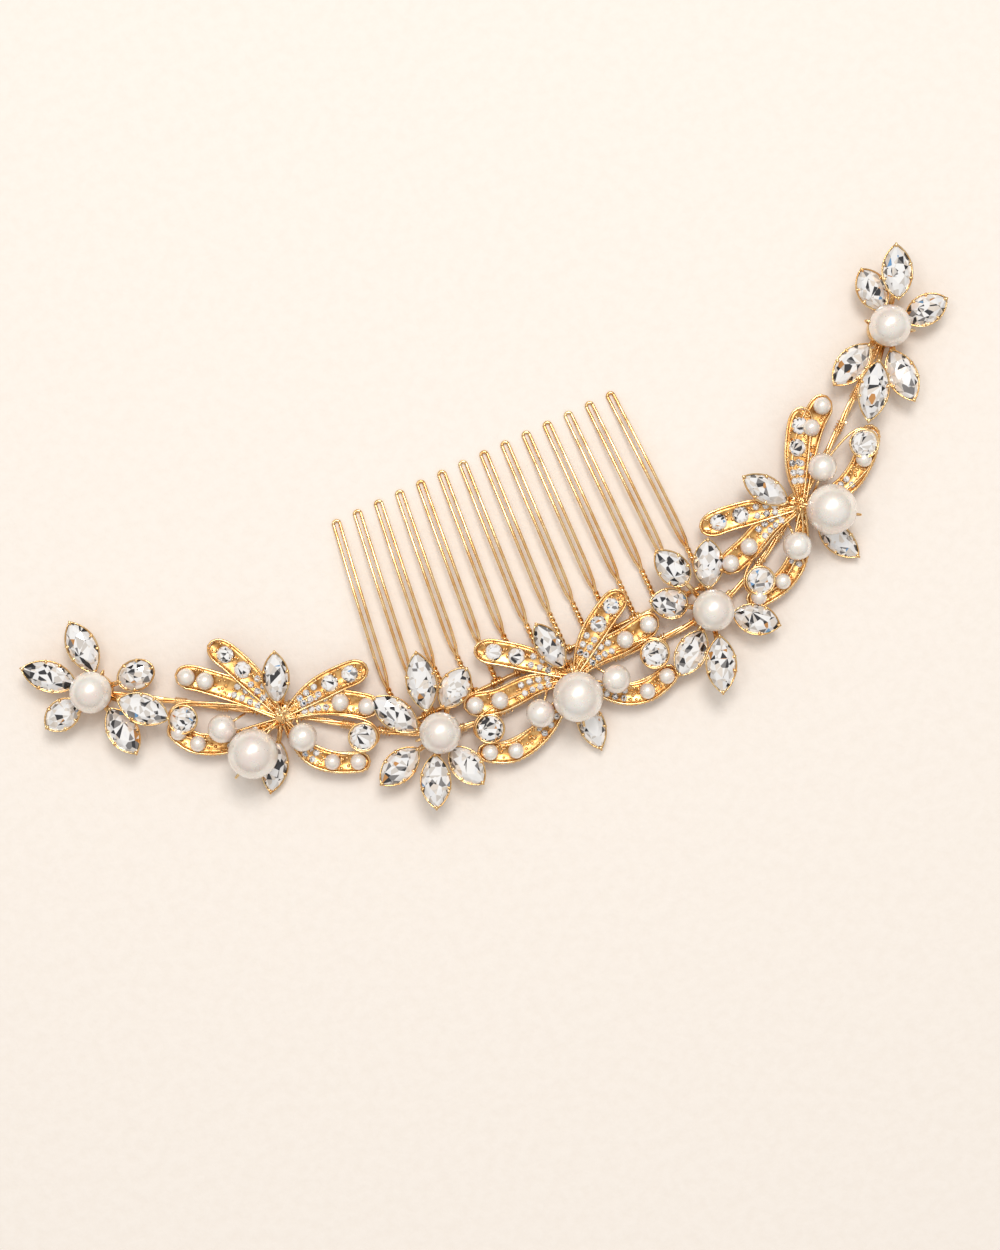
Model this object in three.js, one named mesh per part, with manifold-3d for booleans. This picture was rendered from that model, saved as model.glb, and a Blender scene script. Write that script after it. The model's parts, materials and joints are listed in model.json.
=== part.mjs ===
// Decorative bridal hair comb: a crescent vine of seven motifs on a wire bundle, with a 14-prong wire comb.
// Millimetres. It lies on its back: +X runs along the comb, +Y towards the prong tips, +Z up to the pearls.
import * as THREE from 'three';
import { mergeVertices } from 'three/addons/utils/BufferGeometryUtils.js';
import Module from 'manifold-3d';

const wasm = await Module();
wasm.setup();

// Vine: a bundle of wires bent to a crescent that opens towards the prongs.
const arcRadius = 115;
const vineRadius = 0.7;
const vineOverhang = 1.8;

// Comb: a straight bar that carries fourteen hairpin prongs.
const prongCount = 14;
const rootPitch = 5.08;
const tipPitch = 4.65;
const rootShift = -2.7;
const tipShift = -0.9;
const prongWireRadius = 0.3;
const prongLegSpacing = 1.3;
const barRadius = 0.45;
const barHeight = 0.95;
const barOverhang = 1.6;
const barGap = 0.2;
const rootLength = 8.2;
const rootRadius = 0.55;
const rootRise = 0.5;
const rootLegOffset = 0.15;
const rootJoin = 1.4;
const prongLength = 42.9;
const prongBow = 1.9;
const bowShare = 1.15;
const dropStart = 0.75;

// Pearls turn on wires that pass through their bores.
const flowerPearlRadius = 4.15;
const largePearlRadius = 5;
const smallPearlRadius = 2.85;
const pearlWireRadius = 0.25;
const wireOverhang = 0.95;

// Metalwork of the motifs.
const clearance = 0.3;
const vineLift = 0.5;
const plateRadius = 3.6;
const plateThickness = 1.2;
const deckRadius = 3.9;
const deckThickness = 1;
const saddleLength = 3;
const saddlePlay = 0.6;
const saddleWall = 0.9;
const cupWall = 0.45;
const armRadius = 0.5;
const leafThickness = 1;
const hubRadius = 2.7;
const postReach = 1.6;
const chatonRadius = 3;
const chatonHeight = 3.4;
const chatonInset = 3.1;
const chatonV = -2.9;
const smallFootShare = 0.62;
const smallFootV = -0.3;

// Stone proportions: the crown rises above the girdle and the pavilion lies below it.
const stoneWidth = 5.6;
const crownHeight = 1.2;
const girdleHeight = 0.3;
const pavilionDepth = 1.3;
const tableShare = 0.55;
const cupFloorShare = 0.45;
const cupOpening = 1;

// How far above the deck the stones stand.
const lowRise = 0.6;
const uprightRise = 2;
const highRise = 3;
const topRise = 3.9;

const boreRadius = pearlWireRadius + clearance;
const vineHeight = plateThickness + vineLift + vineRadius;
const deckBottom = vineHeight + vineRadius + clearance;
const deckTop = deckBottom + deckThickness;
const deckMiddle = (deckBottom + deckTop) / 2;

const gold = { color: 0xd9a441, roughness: 0.18, metalness: 1 };
const ivoryPearl = { color: 0xf3ece2, roughness: 0.22, metalness: 0 };
const clearCrystal = { color: 0xdfe6ea, roughness: 0.04, metalness: 0.1 };

const comb = new THREE.Group();

function addMesh(parent, name, geometry, finish) {
  const mesh = new THREE.Mesh(geometry, new THREE.MeshStandardMaterial(finish));
  mesh.name = name;
  parent.add(mesh);
  return mesh;
}

// A closed geometry as a solid for joining and cutting.
function solidFrom(geometry, matrix) {
  const bare = geometry.index ? geometry.toNonIndexed() : geometry.clone();
  bare.deleteAttribute('normal');
  bare.deleteAttribute('uv');
  if (matrix) bare.applyMatrix4(matrix);
  const merged = mergeVertices(bare, 1e-4);
  const corners = [];
  for (let i = 0; i < merged.index.count; i += 3) {
    const [a, b, c] = [merged.index.getX(i), merged.index.getX(i + 1), merged.index.getX(i + 2)];
    if (a !== b && b !== c && a !== c) corners.push(a, b, c);
  }
  return new wasm.Manifold(new wasm.Mesh({
    numProp: 3,
    vertProperties: new Float32Array(merged.attributes.position.array),
    triVerts: new Uint32Array(corners),
  }));
}

function geometryFrom(solid) {
  const mesh = solid.getMesh();
  const geometry = new THREE.BufferGeometry();
  geometry.setAttribute('position', new THREE.BufferAttribute(new Float32Array(mesh.vertProperties), 3));
  geometry.setIndex(new THREE.BufferAttribute(new Uint32Array(mesh.triVerts), 1));
  return geometry;
}

function joined(solids) {
  return solids.reduce((whole, piece) => whole.add(piece));
}

// A straight round rod between two points.
function rod(from, to, radius, sides = 5) {
  const along = new THREE.Vector3().subVectors(to, from);
  const geometry = new THREE.CylinderGeometry(radius, radius, along.length(), sides);
  const upright = new THREE.Vector3(0, 1, 0);
  const turn = new THREE.Quaternion().setFromUnitVectors(upright, along.clone().normalize());
  const middle = new THREE.Vector3().addVectors(from, to).multiplyScalar(0.5);
  return solidFrom(geometry, new THREE.Matrix4().compose(middle, turn, new THREE.Vector3(1, 1, 1)));
}

function knot(at, radius) {
  const geometry = new THREE.OctahedronGeometry(radius * 1.4);
  return solidFrom(geometry, new THREE.Matrix4().makeTranslation(at.x, at.y, at.z));
}

// A bent wire: straight runs joined at rounded bends.
function bentWire(points, radius) {
  const pieces = [];
  for (let i = 1; i < points.length; i += 1) {
    pieces.push(rod(points[i - 1], points[i], radius));
    if (i < points.length - 1) pieces.push(knot(points[i], radius));
  }
  return joined(pieces);
}

// An upright disc or post.
function disc(radius, bottom, top, sides = 12) {
  const geometry = new THREE.CylinderGeometry(radius, radius, top - bottom, sides);
  geometry.rotateX(Math.PI / 2);
  return solidFrom(geometry, new THREE.Matrix4().makeTranslation(0, 0, (bottom + top) / 2));
}

// Outline of a stone: how far it reaches from its middle in each direction.
// A marquise is where two equal circles overlap, so it is pointed at both ends.
function marquiseReach(length, width, angle) {
  const circle = (length * length + width * width) / (4 * width);
  const shift = circle - width / 2;
  const rise = Math.abs(Math.sin(angle)) * shift;
  return Math.sqrt(rise * rise + circle * circle - shift * shift) - rise;
}

// A turned profile whose round sections are drawn out to a marquise.
function cutStone(length, width, profile) {
  const geometry = new THREE.LatheGeometry(profile, 8);
  geometry.rotateX(Math.PI / 2);
  const position = geometry.attributes.position;
  for (let i = 0; i < position.count; i += 1) {
    const x = position.getX(i);
    const y = position.getY(i);
    const size = Math.hypot(x, y);
    const angle = Math.atan2(y, x);
    const reach = marquiseReach(length, width, angle);
    position.setXY(i, Math.cos(angle) * size * reach, Math.sin(angle) * size * reach);
  }
  return geometry;
}

const stoneProfile = [
  new THREE.Vector2(0, -pavilionDepth),
  new THREE.Vector2(1, 0),
  new THREE.Vector2(1, girdleHeight),
  new THREE.Vector2(tableShare, crownHeight + girdleHeight),
  new THREE.Vector2(0, crownHeight + girdleHeight),
];

// The cup under a stone is a plain block of the same outline, hollowed by the stone and its clearance.
function stoneCup(length, width, matrix) {
  const wall = cupWall + clearance;
  const outer = cutStone(length + 2 * wall, width + 2 * wall, [
    new THREE.Vector2(0, -pavilionDepth - wall),
    new THREE.Vector2(cupFloorShare, -pavilionDepth - wall),
    new THREE.Vector2(1, 0),
    new THREE.Vector2(0, 0),
  ]);
  const hollow = cutStone(length + 2 * clearance, width + 2 * clearance, [
    new THREE.Vector2(0, -pavilionDepth - clearance),
    new THREE.Vector2(1, -clearance),
    new THREE.Vector2(1, girdleHeight + cupOpening),
    new THREE.Vector2(0, girdleHeight + cupOpening),
  ]);
  return solidFrom(outer, matrix).subtract(solidFrom(hollow, matrix));
}

// Where a stone stands: its middle, the way its long axis points, and how far its outer end is raised.
function stoneMatrix({ u, v, turn, rise, tilt }) {
  const matrix = new THREE.Matrix4().makeTranslation(u, v, deckTop + rise);
  matrix.multiply(new THREE.Matrix4().makeRotationZ(THREE.MathUtils.degToRad(turn)));
  matrix.multiply(new THREE.Matrix4().makeRotationY(THREE.MathUtils.degToRad(-tilt)));
  return matrix;
}

// A pearl: a sphere with a straight bore along its own X axis.
function pearlGeometry(radius) {
  const halfBore = Math.sqrt(radius * radius - boreRadius * boreRadius);
  const start = Math.atan2(-halfBore, boreRadius);
  const steps = 6;
  const profile = [];
  for (let i = 0; i <= steps; i += 1) {
    const angle = start - (2 * start * i) / steps;
    profile.push(new THREE.Vector2(radius * Math.cos(angle), radius * Math.sin(angle)));
  }
  profile.push(profile[0].clone());
  const geometry = new THREE.LatheGeometry(profile, 12);
  geometry.rotateZ(Math.PI / 2);
  return geometry;
}

// The wire that carries a pearl comes up from one foot, runs level through the bore and turns down again.
function pearlWire(middle, radius, turn, feet) {
  const along = new THREE.Vector3(Math.cos(turn), Math.sin(turn), 0);
  const knee = radius + wireOverhang;
  const nearKnee = middle.clone().addScaledVector(along, knee);
  const farKnee = middle.clone().addScaledVector(along, -knee);
  return bentWire([feet[0], nearKnee, farKnee, ...feet.slice(1)], pearlWireRadius);
}

// A foot below a pearl, at a distance from its middle along its wire.
function footBelow(middle, turn, reach) {
  return new THREE.Vector3(middle.x + reach * Math.cos(turn), middle.y + reach * Math.sin(turn), deckMiddle);
}

function addPearl(parent, name, middle, radius, turn) {
  const pearl = addMesh(parent, name, pearlGeometry(radius), ivoryPearl);
  pearl.position.copy(middle);
  pearl.rotation.z = turn;
  return pearl;
}

function hubPosition(arcDegrees, offset) {
  const angle = THREE.MathUtils.degToRad(arcDegrees);
  const reach = arcRadius + offset;
  return new THREE.Vector3(reach * Math.sin(angle), arcRadius - reach * Math.cos(angle), 0);
}

// A motif's own frame: X runs along the vine, Y towards the middle of the crescent.
function motifGroup(arcDegrees, offset) {
  const group = new THREE.Group();
  group.position.copy(hubPosition(arcDegrees, offset));
  group.rotation.z = THREE.MathUtils.degToRad(arcDegrees);
  comb.add(group);
  return group;
}

// ---- Flowers -------------------------------------------------------------------------------

// Each stone lies in the direction bearing, with its middle a distance out from the pearl's surface.
const flowers = {
  flower_a: {
    arcDegrees: -49.4,
    offset: 2,
    wireTurn: 84,
    stones: [
      { bearing: 127.9, out: 4.97, turn: 140, length: 11, rise: lowRise, tilt: 8 },
      { bearing: -175, out: 5.4, turn: 186, length: 11.2, rise: lowRise, tilt: 5 },
      { bearing: -118.6, out: 3.42, turn: -116, length: 8, rise: lowRise, tilt: 0 },
      { bearing: -28.1, out: 5.6, turn: -34, length: 10.4, rise: lowRise, tilt: 4 },
      { bearing: 6.9, out: 6.73, turn: 4, length: 10.6, rise: topRise, tilt: 0 },
      { bearing: 45.9, out: 5.04, turn: 48, length: 7.4, rise: lowRise, tilt: 10 },
    ],
  },
  flower_c: {
    arcDegrees: -14.8,
    offset: 1.4,
    wireTurn: 8,
    stones: [
      { bearing: 147.6, out: 5.56, turn: 134, length: 10.8, rise: lowRise, tilt: 6 },
      { bearing: 100.2, out: 6.62, turn: 90, length: 12, rise: highRise, tilt: 10 },
      { bearing: 62.3, out: 5.11, turn: 48, length: 9, rise: lowRise, tilt: 6 },
      { bearing: -61.6, out: 4.26, turn: -58, length: 9.4, rise: lowRise, tilt: 4 },
      { bearing: -105.6, out: 5.51, turn: -98, length: 10.6, rise: highRise, tilt: 4 },
      { bearing: -150.5, out: 6.42, turn: -146, length: 10, rise: lowRise, tilt: 4 },
    ],
  },
  flower_e: {
    arcDegrees: 14.5,
    offset: 2.1,
    wireTurn: 12,
    stones: [
      { bearing: 94.6, out: 7.09, turn: 95, length: 8.6, rise: highRise, tilt: 6 },
      { bearing: 55.5, out: 5.2, turn: 52, length: 9.6, rise: lowRise, tilt: 8 },
      { bearing: 131.1, out: 4.07, turn: 134, length: 7.2, rise: lowRise, tilt: 4 },
      { bearing: -50.9, out: 4.74, turn: -54, length: 9.4, rise: lowRise, tilt: 4 },
      { bearing: -156.2, out: 5.25, turn: -158, length: 10, rise: lowRise, tilt: 2 },
      { bearing: -121.3, out: 6.62, turn: -126, length: 11.2, rise: topRise, tilt: 0 },
    ],
  },
  flower_g: {
    arcDegrees: 47.6,
    offset: -0.5,
    wireTurn: 96,
    stones: [
      { bearing: 40, out: 3.94, turn: 46, length: 9, rise: lowRise, tilt: 6 },
      { bearing: 9.6, out: 6.6, turn: 20, length: 10.6, rise: topRise, tilt: 0 },
      { bearing: -47.9, out: 4.2, turn: -44, length: 9, rise: lowRise, tilt: 6 },
      { bearing: -145.7, out: 5.78, turn: -138, length: 11, rise: lowRise, tilt: 4 },
      { bearing: 153.4, out: 6.14, turn: 156, length: 10.6, rise: lowRise, tilt: 4 },
      { bearing: -176.5, out: 9.07, turn: -172, length: 12, rise: topRise, tilt: -4 },
    ],
  },
};

function flowerStone({ bearing, out, ...stone }) {
  const angle = THREE.MathUtils.degToRad(bearing);
  const reach = flowerPearlRadius + out;
  return { u: reach * Math.cos(angle), v: reach * Math.sin(angle), ...stone };
}

// The setting grips the vine: a flat back plate below it, a deck above it and a wall at either side.
function flowerSetting(wireTurn, stones, pearlMiddle) {
  const pieces = [disc(plateRadius, 0, plateThickness), disc(deckRadius, deckBottom, deckTop)];
  for (const side of [-1, 1]) {
    const wall = new THREE.BoxGeometry(saddleLength, saddleWall, deckTop);
    const y = side * (vineRadius + saddlePlay + saddleWall / 2);
    pieces.push(solidFrom(wall, new THREE.Matrix4().makeTranslation(0, y, deckTop / 2)));
  }
  for (const stone of stones) {
    const matrix = stoneMatrix(stone);
    pieces.push(stoneCup(stone.length, stoneWidth, matrix));
    const azimuth = Math.atan2(stone.v, stone.u);
    const reach = deckRadius - armRadius;
    const rim = new THREE.Vector3(reach * Math.cos(azimuth), reach * Math.sin(azimuth), deckMiddle);
    const under = new THREE.Vector3(-stone.length / 5, 0, -pavilionDepth - clearance - cupWall / 2);
    pieces.push(rod(rim, under.applyMatrix4(matrix), armRadius));
  }
  const turn = THREE.MathUtils.degToRad(wireTurn);
  const feet = [1, -1].map((side) => footBelow(pearlMiddle, turn, side * (deckRadius - pearlWireRadius)));
  pieces.push(pearlWire(pearlMiddle, flowerPearlRadius, turn, feet));
  return joined(pieces);
}

for (const [name, flower] of Object.entries(flowers)) {
  const group = motifGroup(flower.arcDegrees, flower.offset);
  const middle = new THREE.Vector3(0, 0, deckTop + clearance + flowerPearlRadius);
  const stones = flower.stones.map(flowerStone);
  addMesh(group, `${name}_setting`, geometryFrom(flowerSetting(flower.wireTurn, stones, middle)), gold);
  addPearl(group, `${name}_pearl`, middle, flowerPearlRadius, THREE.MathUtils.degToRad(flower.wireTurn));
  stones.forEach((stone, index) => {
    const mesh = addMesh(group, `${name}_stone_${index + 1}`,
      cutStone(stone.length, stoneWidth, stoneProfile), clearCrystal);
    mesh.applyMatrix4(stoneMatrix(stone));
  });
}

// ---- Leaf sprays ---------------------------------------------------------------------------

// The small pearls lie beside the large one: each in the direction bearing, with a gap between the two.
const sprays = {
  spray_b: {
    arcDegrees: -30.6,
    offset: -3.5,
    reach: [22.4, 19.6],
    large: [-4.6, -8.1],
    small: [{ bearing: 148, gap: 0.35 }, { bearing: 23.6, gap: 2.6 }],
  },
  spray_d: {
    arcDegrees: -0.6,
    offset: -1.7,
    reach: [22.4, 19.6],
    large: [-0.9, -4.2],
    small: [{ bearing: 180, gap: 0.5 }, { bearing: 0, gap: 0.8 }],
  },
  spray_f: {
    arcDegrees: 27.9,
    offset: 0,
    reach: [19.8, 20.4],
    large: [2.7, -5.4],
    small: [{ bearing: 174.7, gap: 2.1 }, { bearing: 47.9, gap: 0.9 }],
  },
};

// Each leaf runs from its base to its tip; its two edges bow up (+) or down (-) from the line between them.
// A pair of free leaves stands on the comb's side; two more pairs run along the vine and close into loops.
function sprayLeaves([left, right]) {
  return [
    { base: [-1, 0.5], tip: [-16, 12.4], edges: [4.8, -4] },
    { base: [1, 0.5], tip: [15.8, 11.3], edges: [4.8, -4] },
    { base: [-0.5, -0.5], tip: [-left, 0.6], edges: [9, -1.6] },
    { base: [0.5, -0.5], tip: [right, 0.4], edges: [9, -1.6] },
    { base: [-0.5, -1.5], tip: [-left, -4.6], edges: [-6.2, -13.4] },
    { base: [0.5, -1.5], tip: [right, -4.4], edges: [-6.2, -13.4] },
  ];
}

// One stone stands up between the free leaves and the other hangs below the lower ones.
const hangingRise = -deckThickness - girdleHeight - crownHeight;
const sprayStones = [
  { u: -1.8, v: 7.2, turn: 98, length: 11, rise: uprightRise, tilt: 10 },
  { u: -0.6, v: -10.6, turn: -93, length: 11, rise: hangingRise, tilt: 0 },
];

function leafSolid({ base, tip, edges }) {
  const [x0, y0] = base;
  const [x1, y1] = tip;
  const length = Math.hypot(x1 - x0, y1 - y0);
  const normal = [(y0 - y1) / length, (x1 - x0) / length];
  const side = x1 < x0 ? -1 : 1;
  const control = (bow) => [(x0 + x1) / 2 + side * normal[0] * bow, (y0 + y1) / 2 + side * normal[1] * bow];
  const outline = new THREE.Shape();
  outline.moveTo(x0, y0);
  outline.quadraticCurveTo(...control(edges[0]), x1, y1);
  outline.quadraticCurveTo(...control(edges[1]), x0, y0);
  const geometry = new THREE.ExtrudeGeometry(outline, {
    depth: leafThickness, bevelEnabled: false, curveSegments: 5,
  });
  return solidFrom(geometry, new THREE.Matrix4().makeTranslation(0, 0, deckBottom));
}

function sprayFrame(reach, pearls) {
  const pieces = sprayLeaves(reach).map(leafSolid);
  pieces.push(disc(hubRadius, deckBottom, deckTop));
  for (const u of [chatonInset - reach[0], reach[1] - chatonInset]) {
    const chaton = disc(chatonRadius, deckBottom, deckBottom + chatonHeight, 10);
    pieces.push(chaton.translate([u, chatonV, 0]));
  }
  for (const stone of sprayStones) {
    const matrix = stoneMatrix(stone);
    pieces.push(solidFrom(cutStone(stone.length, stoneWidth, stoneProfile), matrix));
    const inner = new THREE.Vector3(-stone.length / 4, 0, 0).applyMatrix4(matrix);
    pieces.push(rod(new THREE.Vector3(0, Math.sign(stone.v) * postReach, deckMiddle), inner, armRadius));
  }
  // A pearl's wire leaves the metalwork, passes through the pearl and comes back under it.
  for (const { middle, radius, foot, turn } of pearls) {
    pieces.push(pearlWire(middle, radius, turn, [foot, footBelow(middle, turn, -radius), foot]));
  }
  return joined(pieces);
}

// The wire of a spray's pearl heads for its foot, a share of the way out from the hub.
function sprayPearl(name, [u, v], radius, footShare) {
  const middle = new THREE.Vector3(u, v, deckTop + clearance + radius);
  const foot = new THREE.Vector3(u * footShare, footShare ? smallFootV : 0, deckMiddle);
  return { name, middle, radius, foot, turn: Math.atan2(foot.y - v, foot.x - u) };
}

// Both pearls rest at deck level, so the middle of the small one lies lower by the difference of the radii.
function besideLarge([u, v], { bearing, gap }) {
  const apart = largePearlRadius + smallPearlRadius + gap;
  const reach = Math.sqrt(apart ** 2 - (largePearlRadius - smallPearlRadius) ** 2);
  const angle = THREE.MathUtils.degToRad(bearing);
  return [u + reach * Math.cos(angle), v + reach * Math.sin(angle)];
}

for (const [name, spray] of Object.entries(sprays)) {
  const group = motifGroup(spray.arcDegrees, spray.offset);
  const pearls = [sprayPearl(`${name}_large_pearl`, spray.large, largePearlRadius, 0)];
  spray.small.forEach((place, index) => {
    const middle = besideLarge(spray.large, place);
    pearls.push(sprayPearl(`${name}_small_pearl_${index + 1}`, middle, smallPearlRadius, smallFootShare));
  });
  addMesh(group, `${name}_frame`, geometryFrom(sprayFrame(spray.reach, pearls)), gold);
  for (const pearl of pearls) addPearl(group, pearl.name, pearl.middle, pearl.radius, pearl.turn);
}

// ---- Vine ----------------------------------------------------------------------------------

function roundSection(radius, sides) {
  const section = new THREE.Shape();
  for (let i = 0; i < sides; i += 1) {
    const angle = (2 * Math.PI * i) / sides;
    const [x, y] = [radius * Math.cos(angle), radius * Math.sin(angle)];
    if (i === 0) section.moveTo(x, y);
    else section.lineTo(x, y);
  }
  section.closePath();
  return section;
}

// The bundle passes under every motif and ends just beyond the first and the last.
const hubs = [...Object.values(flowers), ...Object.values(sprays)]
  .sort((one, other) => one.arcDegrees - other.arcDegrees)
  .map(({ arcDegrees, offset }) => hubPosition(arcDegrees, offset).setZ(vineHeight));
const overhang = (end, next) => end.clone().addScaledVector(end.clone().sub(next).normalize(), vineOverhang);
const vinePoints = [overhang(hubs[0], hubs[1]), ...hubs, overhang(hubs.at(-1), hubs.at(-2))];
const vineGeometry = new THREE.ExtrudeGeometry(roundSection(vineRadius, 6), {
  steps: 36, bevelEnabled: false, extrudePath: new THREE.CatmullRomCurve3(vinePoints, false, 'centripetal'),
});
addMesh(comb, 'vine_wire', vineGeometry, gold);

// ---- Comb ----------------------------------------------------------------------------------

// The bar lies just clear of the back plates of the flowers that it passes.
const barHalf = ((prongCount - 1) / 2) * rootPitch + barOverhang;
const passedPlates = Object.values(flowers)
  .map(({ arcDegrees, offset }) => hubPosition(arcDegrees, offset))
  .filter((hub) => Math.abs(hub.x - rootShift) < barHalf);
const barY = Math.max(...passedPlates.map((hub) => hub.y)) + plateRadius + barGap + barRadius;
const rootEndY = barY + rootLength;
const tipY = barY + prongLength;
const rootHeight = barHeight + rootRise;
const bodyHeight = barHeight + prongBow;

function prongX(index, pitch, shift) {
  return (index - (prongCount - 1) / 2) * pitch + shift;
}

// A hairpin: two legs that leave the root together, run side by side and meet in a round tip.
function prongSolid(index) {
  const rootX = prongX(index, rootPitch, rootShift);
  const tipX = prongX(index, tipPitch, tipShift);
  const half = prongLegSpacing / 2;
  const span = tipY - half - rootEndY;
  const at = (along, side) => {
    const bow = rootHeight + (bodyHeight - rootHeight) * Math.sin(Math.PI * Math.min(along * bowShare, 1));
    const drop = Math.max(0, along - dropStart) / (1 - dropStart);
    return new THREE.Vector3(
      rootX + (tipX - rootX) * along + side,
      rootEndY + span * along,
      bow + (prongWireRadius - rootHeight) * drop * drop,
    );
  };
  const legStart = -rootJoin / span;
  const points = [at(legStart, -rootLegOffset), at(0.1, -half)];
  for (const along of [0.35, 0.6, 0.8]) points.push(at(along, -half));
  for (let i = 0; i <= 4; i += 1) {
    const angle = Math.PI - (Math.PI * i) / 4;
    const tip = at(1, half * Math.cos(angle));
    tip.y += half * Math.sin(angle);
    points.push(tip);
  }
  for (const along of [0.8, 0.6, 0.35]) points.push(at(along, half));
  points.push(at(0.1, half), at(legStart, rootLegOffset));
  const wire = new THREE.ExtrudeGeometry(roundSection(prongWireRadius, 5), {
    steps: 18, bevelEnabled: false, extrudePath: new THREE.CatmullRomCurve3(points, false, 'centripetal'),
  });
  const rootStart = new THREE.Vector3(rootX, barY + barRadius + clearance, barHeight);
  const rootEnd = new THREE.Vector3(rootX, rootEndY, rootHeight);
  return solidFrom(wire).add(rod(rootStart, rootEnd, rootRadius));
}

const bar = new THREE.CylinderGeometry(barRadius, barRadius, 2 * barHalf, 8);
bar.rotateZ(Math.PI / 2);
const barMesh = addMesh(comb, 'comb_bar', bar, gold);
barMesh.position.set(rootShift, barY, barHeight);

for (let i = 0; i < prongCount; i += 1) {
  addMesh(comb, `prong_${String(i + 1).padStart(2, '0')}`, geometryFrom(prongSolid(i)), gold);
}

// The origin is at the middle of the whole comb, on the surface that it lies on.
const part = new THREE.Group();
part.add(comb);
part.updateMatrixWorld(true);
const bounds = new THREE.Box3().setFromObject(part, true);
comb.position.set(-(bounds.min.x + bounds.max.x) / 2, -(bounds.min.y + bounds.max.y) / 2, -bounds.min.z);

export default part;
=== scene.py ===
import json
import math
import random

import bmesh
import bpy
from mathutils import Matrix, Vector


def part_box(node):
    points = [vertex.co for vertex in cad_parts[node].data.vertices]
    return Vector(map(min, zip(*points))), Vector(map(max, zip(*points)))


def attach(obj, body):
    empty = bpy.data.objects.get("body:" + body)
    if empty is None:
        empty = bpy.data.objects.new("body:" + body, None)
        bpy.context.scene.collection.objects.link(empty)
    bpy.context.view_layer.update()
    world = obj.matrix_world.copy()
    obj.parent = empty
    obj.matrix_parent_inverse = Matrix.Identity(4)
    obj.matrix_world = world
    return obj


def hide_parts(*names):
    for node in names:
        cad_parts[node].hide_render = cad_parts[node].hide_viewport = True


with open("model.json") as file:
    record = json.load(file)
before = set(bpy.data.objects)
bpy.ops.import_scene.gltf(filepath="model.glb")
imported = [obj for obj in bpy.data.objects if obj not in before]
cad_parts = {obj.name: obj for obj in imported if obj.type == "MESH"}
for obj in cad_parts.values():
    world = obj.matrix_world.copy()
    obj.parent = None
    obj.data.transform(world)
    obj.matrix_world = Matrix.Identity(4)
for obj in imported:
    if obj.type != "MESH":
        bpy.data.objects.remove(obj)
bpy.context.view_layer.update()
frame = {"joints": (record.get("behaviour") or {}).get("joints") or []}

mm = 0.001
up = Vector((0, 0, 1))

# where the motifs stand round the crescent: degrees along the arc, and millimetres outside it
crescent = {
    "radius": 115,
    "flower_a": (-49.4, 2), "spray_b": (-30.6, -3.5), "flower_c": (-14.8, 1.4), "spray_d": (-0.6, -1.7),
    "flower_e": (14.5, 2.1), "spray_f": (27.9, 0), "flower_g": (47.6, -0.5),
}
motifs = [name for name in crescent if name != "radius"]
pearlJoints = {joint["child"]: joint for joint in frame["joints"]}
levels = {"vine": 2.4, "deckBottom": 3.4, "deckTop": 4.4, "bar": 0.95}


def middleOf(node):
    low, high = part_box(node)
    return (low + high) / 2 / mm


def radiusOf(node):
    low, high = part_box(node)
    return (high.z - low.z) / 2 / mm


def arcPoint(name):
    degrees, offset = crescent[name]
    angle = math.radians(degrees)
    reach = crescent["radius"] + offset
    return Vector((reach * math.sin(angle), crescent["radius"] - reach * math.cos(angle), 0))


# the frame's origin is the middle of the comb, so the arc is moved to where the frame has its first pearl
firstPearl = middleOf("flower_a_pearl")
arcShift = Vector((firstPearl.x, firstPearl.y, 0)) - arcPoint("flower_a")


def hubMatrix(name):
    turn = Matrix.Rotation(math.radians(crescent[name][0]), 4, "Z")
    return Matrix.Translation(arcPoint(name) + arcShift) @ turn


def camel(name):
    words = name.split("_")
    return words[0] + "".join(word.title() for word in words[1:])


# small helpers for material nodes
def newMaterial(name):
    material = bpy.data.materials.new(name)
    material.use_nodes = True
    nodes = material.node_tree.nodes
    return material, nodes, material.node_tree.links, nodes["Principled BSDF"]


def setInputs(shader, values):
    for key, value in values.items():
        shader.inputs[key].default_value = value


def addNode(nodes, kind, **inputs):
    node = nodes.new(kind)
    for key, value in inputs.items():
        node.inputs[key.replace("_", " ")].default_value = value
    return node


def noiseOn(nodes, links, scale, detail=2.0, roughness=0.5):
    place = nodes.new("ShaderNodeTexCoord")
    noise = addNode(nodes, "ShaderNodeTexNoise", Scale=scale, Detail=detail, Roughness=roughness)
    links.new(place.outputs["Object"], noise.inputs["Vector"])
    return noise


def rampFrom(nodes, links, source, stops, constant=False):
    ramp = nodes.new("ShaderNodeValToRGB")
    if constant:
        ramp.color_ramp.interpolation = "CONSTANT"
    while len(ramp.color_ramp.elements) < len(stops):
        ramp.color_ramp.elements.new(0.5)
    for element, (position, colour) in zip(ramp.color_ramp.elements, stops):
        element.position = position
        element.color = (*colour, 1)
    links.new(source, ramp.inputs["Fac"])
    return ramp


def addBump(nodes, links, source, strength, distance, shader):
    bump = addNode(nodes, "ShaderNodeBump", Strength=strength, Distance=distance)
    links.new(source, bump.inputs["Height"])
    links.new(bump.outputs["Normal"], shader.inputs["Normal"])
    return bump


goldLook = {
    "name": "polishedGoldPlate", "pale": (0.97, 0.71, 0.38), "deep": (0.86, 0.50, 0.19),
    "patchScale": 320, "grainScale": 2600, "rough": (0.10, 0.24), "bump": 0.10,
}


# the floors of the leaves are cast and less polished, and their gold is painted darker: painted shade in the
# recesses between the beads
recessShadeLook = {
    "name": "castGoldRecess", "pale": (0.86, 0.52, 0.20), "deep": (0.46, 0.21, 0.06),
    "patchScale": 700, "grainScale": 1800, "rough": (0.22, 0.42), "bump": 0.25,
}


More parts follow.
